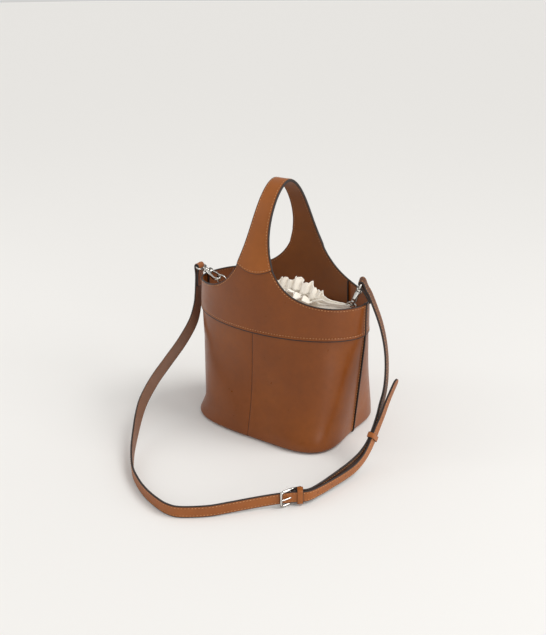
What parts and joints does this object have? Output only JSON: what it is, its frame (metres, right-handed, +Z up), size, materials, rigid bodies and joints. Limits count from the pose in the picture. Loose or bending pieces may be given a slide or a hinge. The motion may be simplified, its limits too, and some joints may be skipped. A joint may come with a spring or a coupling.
{
  "type": "bucket bag",
  "caption": "Soft-cornered tan leather bucket bag with a fixed arched top handle, cream drawstring lining and a clip-on buckled shoulder strap resting on the floor in front.",
  "frame": {"origin": "Centre of the base on the ground plane", "axes": "+X to the right end of the bag, +Y to the back (the strap lies in front, at -Y), +Z up"},
  "size_m": [0.3443, 0.3819, 0.3466],
  "materials": {
    "tan_leather": "smooth semi-matte grain",
    "strap_leather": "smooth semi-matte with painted edges",
    "inner_leather": "matte inner facing",
    "edge_paint": "dark brown painted edge",
    "cream_fabric": "plain woven cotton",
    "board": "matte stiffener board",
    "nickel": "polished nickel plate"
  },
  "bodies": {
    "bag": {"front_panel_left": "tan_leather", "front_panel_right": "tan_leather", "back_panel_left": "tan_leather", "back_panel_right": "tan_leather", "front_yoke": "tan_leather", "back_yoke": "tan_leather", "front_facing": "inner_leather", "back_facing": "inner_leather", "handle_outer": "tan_leather", "handle_core": "edge_paint", "handle_lining": "inner_leather", "side_edge_left": "edge_paint", "side_edge_right": "edge_paint", "base_panel": "tan_leather", "base_board": "board", "lining": "cream_fabric", "drawstring_collar": "cream_fabric", "drawstring_cord": "cream_fabric", "ring_tab_left": "tan_leather", "ring_tab_right": "tan_leather"},
    "ring_left": {"d_ring_left": "nickel"},
    "ring_right": {"d_ring_right": "nickel"},
    "strap": {"strap_long": "strap_leather", "strap_short": "strap_leather", "clasp_left_eye": "nickel", "clasp_right_eye": "nickel", "buckle_frame": "nickel", "keeper_fixed": "strap_leather"},
    "hook_left": {"clasp_left_hook": "nickel", "clasp_left_pin": "nickel", "clasp_left_spring": "nickel"},
    "hook_right": {"clasp_right_hook": "nickel", "clasp_right_pin": "nickel", "clasp_right_spring": "nickel"},
    "gate_left": {"clasp_left_gate": "nickel"},
    "gate_right": {"clasp_right_gate": "nickel"},
    "prong": {"buckle_prong": "nickel"},
    "sliding_keeper": {"keeper_sliding": "strap_leather"}
  },
  "joints": [
    {"name": "strap_swing", "type": "hinge", "parent": "bag", "child": "strap", "pos_m": [0, 0, 0.1805], "axis": [1, 0, 0], "range_deg": [-23, 0], "stiffness_Nm_per_rad": 0.02},
    {"name": "ring_left_turn", "type": "hinge", "parent": "bag", "child": "ring_left", "pos_m": [-0.1038, 0, 0.1805], "axis": [1, 0, 0], "range_deg": [-23, 0]},
    {"name": "ring_right_turn", "type": "hinge", "parent": "bag", "child": "ring_right", "pos_m": [0.1103, 0, 0.1805], "axis": [1, 0, 0], "range_deg": [-23, 0]},
    {"name": "clasp_left_swivel", "type": "hinge", "parent": "strap", "child": "hook_left", "pos_m": [-0.13243, -0.00318, 0.19738], "axis": [-0.9205, -0.0945, 0.3791], "range_deg": [-12, 12], "stiffness_Nm_per_rad": 0.001},
    {"name": "clasp_right_swivel", "type": "hinge", "parent": "strap", "child": "hook_right", "pos_m": [0.12144, -0.00138, 0.21452], "axis": [0.3584, -0.0651, 0.9313], "range_deg": [-12, 12], "stiffness_Nm_per_rad": 0.001},
    {"name": "gate_left_open", "type": "hinge", "parent": "hook_left", "child": "gate_left", "pos_m": [-0.12598, 0.00166, 0.19577], "axis": [-0.3907, 0.2227, -0.8932], "range_deg": [0, 12], "stiffness_Nm_per_rad": 0.002},
    {"name": "gate_right_open", "type": "hinge", "parent": "hook_right", "child": "gate_right", "pos_m": [0.11894, 0.00337, 0.2083], "axis": [-0.9336, -0.025, 0.3575], "range_deg": [0, 12], "stiffness_Nm_per_rad": 0.002},
    {"name": "buckle_prong_turn", "type": "hinge", "parent": "strap", "child": "prong", "pos_m": [0.1408, -0.18919, 0.0114], "axis": [0, 0, 1], "range_deg": [0, 20], "stiffness_Nm_per_rad": 0.001},
    {"name": "keeper_slide", "type": "slide", "parent": "strap", "child": "sliding_keeper", "axis": [0, 0.7071, 0.7071], "range_m": [-0.004, 0.004], "stiffness_N_per_m": 2}
  ],
  "couplings": [
    {"joint": "ring_left_turn", "follows": "strap_swing", "ratio": 1},
    {"joint": "ring_right_turn", "follows": "strap_swing", "ratio": 1}
  ]
}
